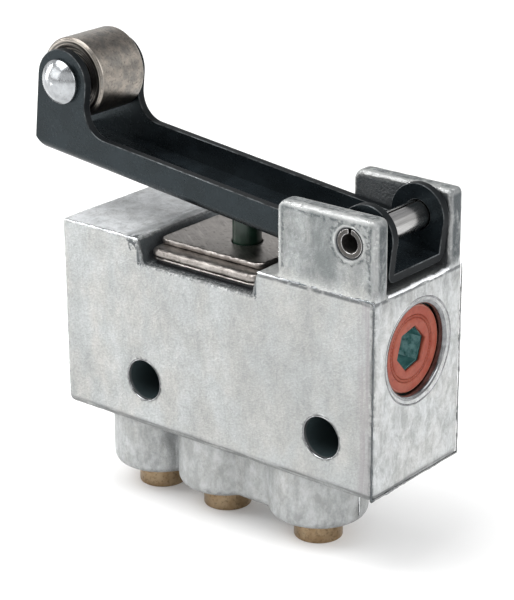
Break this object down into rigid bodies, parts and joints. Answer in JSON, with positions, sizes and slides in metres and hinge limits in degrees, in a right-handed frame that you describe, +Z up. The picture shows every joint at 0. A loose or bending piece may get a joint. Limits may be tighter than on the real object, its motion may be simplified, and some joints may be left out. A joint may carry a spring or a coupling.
{
  "type": "pneumatic limit valve",
  "caption": "Miniature pneumatic limit valve: cast block with push-in tube ports underneath, a plunger in its top and a sprung roller lever hinged between ears.",
  "frame": {"origin": "midway between the mounting holes, on the block's middle plane", "axes": "+X along the block towards the end plug, +Y to the back, +Z up, away from the tube ports"},
  "size_m": [0.0514, 0.0162, 0.0533],
  "materials": {
    "cast_alloy": "raw die casting, satin and slightly mottled",
    "pin_steel": "bright rolled spring steel",
    "plate_steel": "stamped stainless sheet, satin",
    "lever_black": "black oxide, slightly glossy",
    "rivet_steel": "bright zinc plate",
    "roller_steel": "turned and hardened, pitted",
    "spring_steel": "drawn wire",
    "brass": "turned, dull",
    "plunger_plastic": "dark green moulded plastic",
    "plug_plastic": "dark teal moulded plastic",
    "ring_red": "red moulded face",
    "seal_rubber": "black nitrile rubber"
  },
  "bodies": {
    "housing": {"valve_body": "cast_alloy", "pivot_pin": "pin_steel", "recess_gasket": "seal_rubber", "base_plate": "plate_steel", "guide_plate": "plate_steel", "cover_plate": "plate_steel", "plunger_seal": "seal_rubber", "end_plug": "plug_plastic", "plug_o_ring": "seal_rubber", "plug_face_ring": "ring_red", "exhaust_seat": "brass", "inlet_seat": "brass", "return_spring": "spring_steel", "port_sleeve_1": "brass", "backing_ring_1": "brass", "tube_o_ring_1": "seal_rubber", "port_sleeve_2": "brass", "backing_ring_2": "brass", "tube_o_ring_2": "seal_rubber", "port_sleeve_3": "brass", "backing_ring_3": "brass", "tube_o_ring_3": "seal_rubber"},
    "lever": {"lever_arm": "lever_black", "roller_rivet": "rivet_steel"},
    "roller": {"roller": "roller_steel"},
    "plunger": {"plunger": "plunger_plastic"},
    "stem": {"poppet_stem": "brass", "inlet_seal": "seal_rubber", "exhaust_seal": "seal_rubber", "exhaust_poppet": "brass"},
    "collet_1": {"collet_1": "brass"},
    "collet_2": {"collet_2": "brass"},
    "collet_3": {"collet_3": "brass"}
  },
  "joints": [
    {"name": "lever_hinge", "type": "hinge", "parent": "housing", "child": "lever", "pos_m": [0.01599, 0, 0.02263], "axis": [0, -1, 0], "range_deg": [0, 6.4], "stiffness_Nm_per_rad": 0.8, "springref_deg": -8.59},
    {"name": "roller_spin", "type": "hinge", "parent": "lever", "child": "roller", "pos_m": [-0.02713, 0, 0.03202], "axis": [0, 1, 0], "continuous": true},
    {"name": "plunger_slide", "type": "slide", "parent": "housing", "child": "plunger", "axis": [0, 0, -1], "range_m": [0, 0.00225]},
    {"name": "stem_slide", "type": "slide", "parent": "housing", "child": "stem", "axis": [1, 0, 0], "range_m": [0, 0.00225], "deforming": ["return_spring"]},
    {"name": "collet_1_slide", "type": "slide", "parent": "housing", "child": "collet_1", "axis": [0, 0, 1], "range_m": [0, 0.0008]},
    {"name": "collet_2_slide", "type": "slide", "parent": "housing", "child": "collet_2", "axis": [0, 0, 1], "range_m": [0, 0.0008]},
    {"name": "collet_3_slide", "type": "slide", "parent": "housing", "child": "collet_3", "axis": [0, 0, 1], "range_m": [0, 0.0008]}
  ],
  "couplings": [
    {"joint": "plunger_slide", "follows": "lever_hinge", "m_per_rad": 0.019794},
    {"joint": "stem_slide", "follows": "lever_hinge", "m_per_rad": 0.019794}
  ]
}
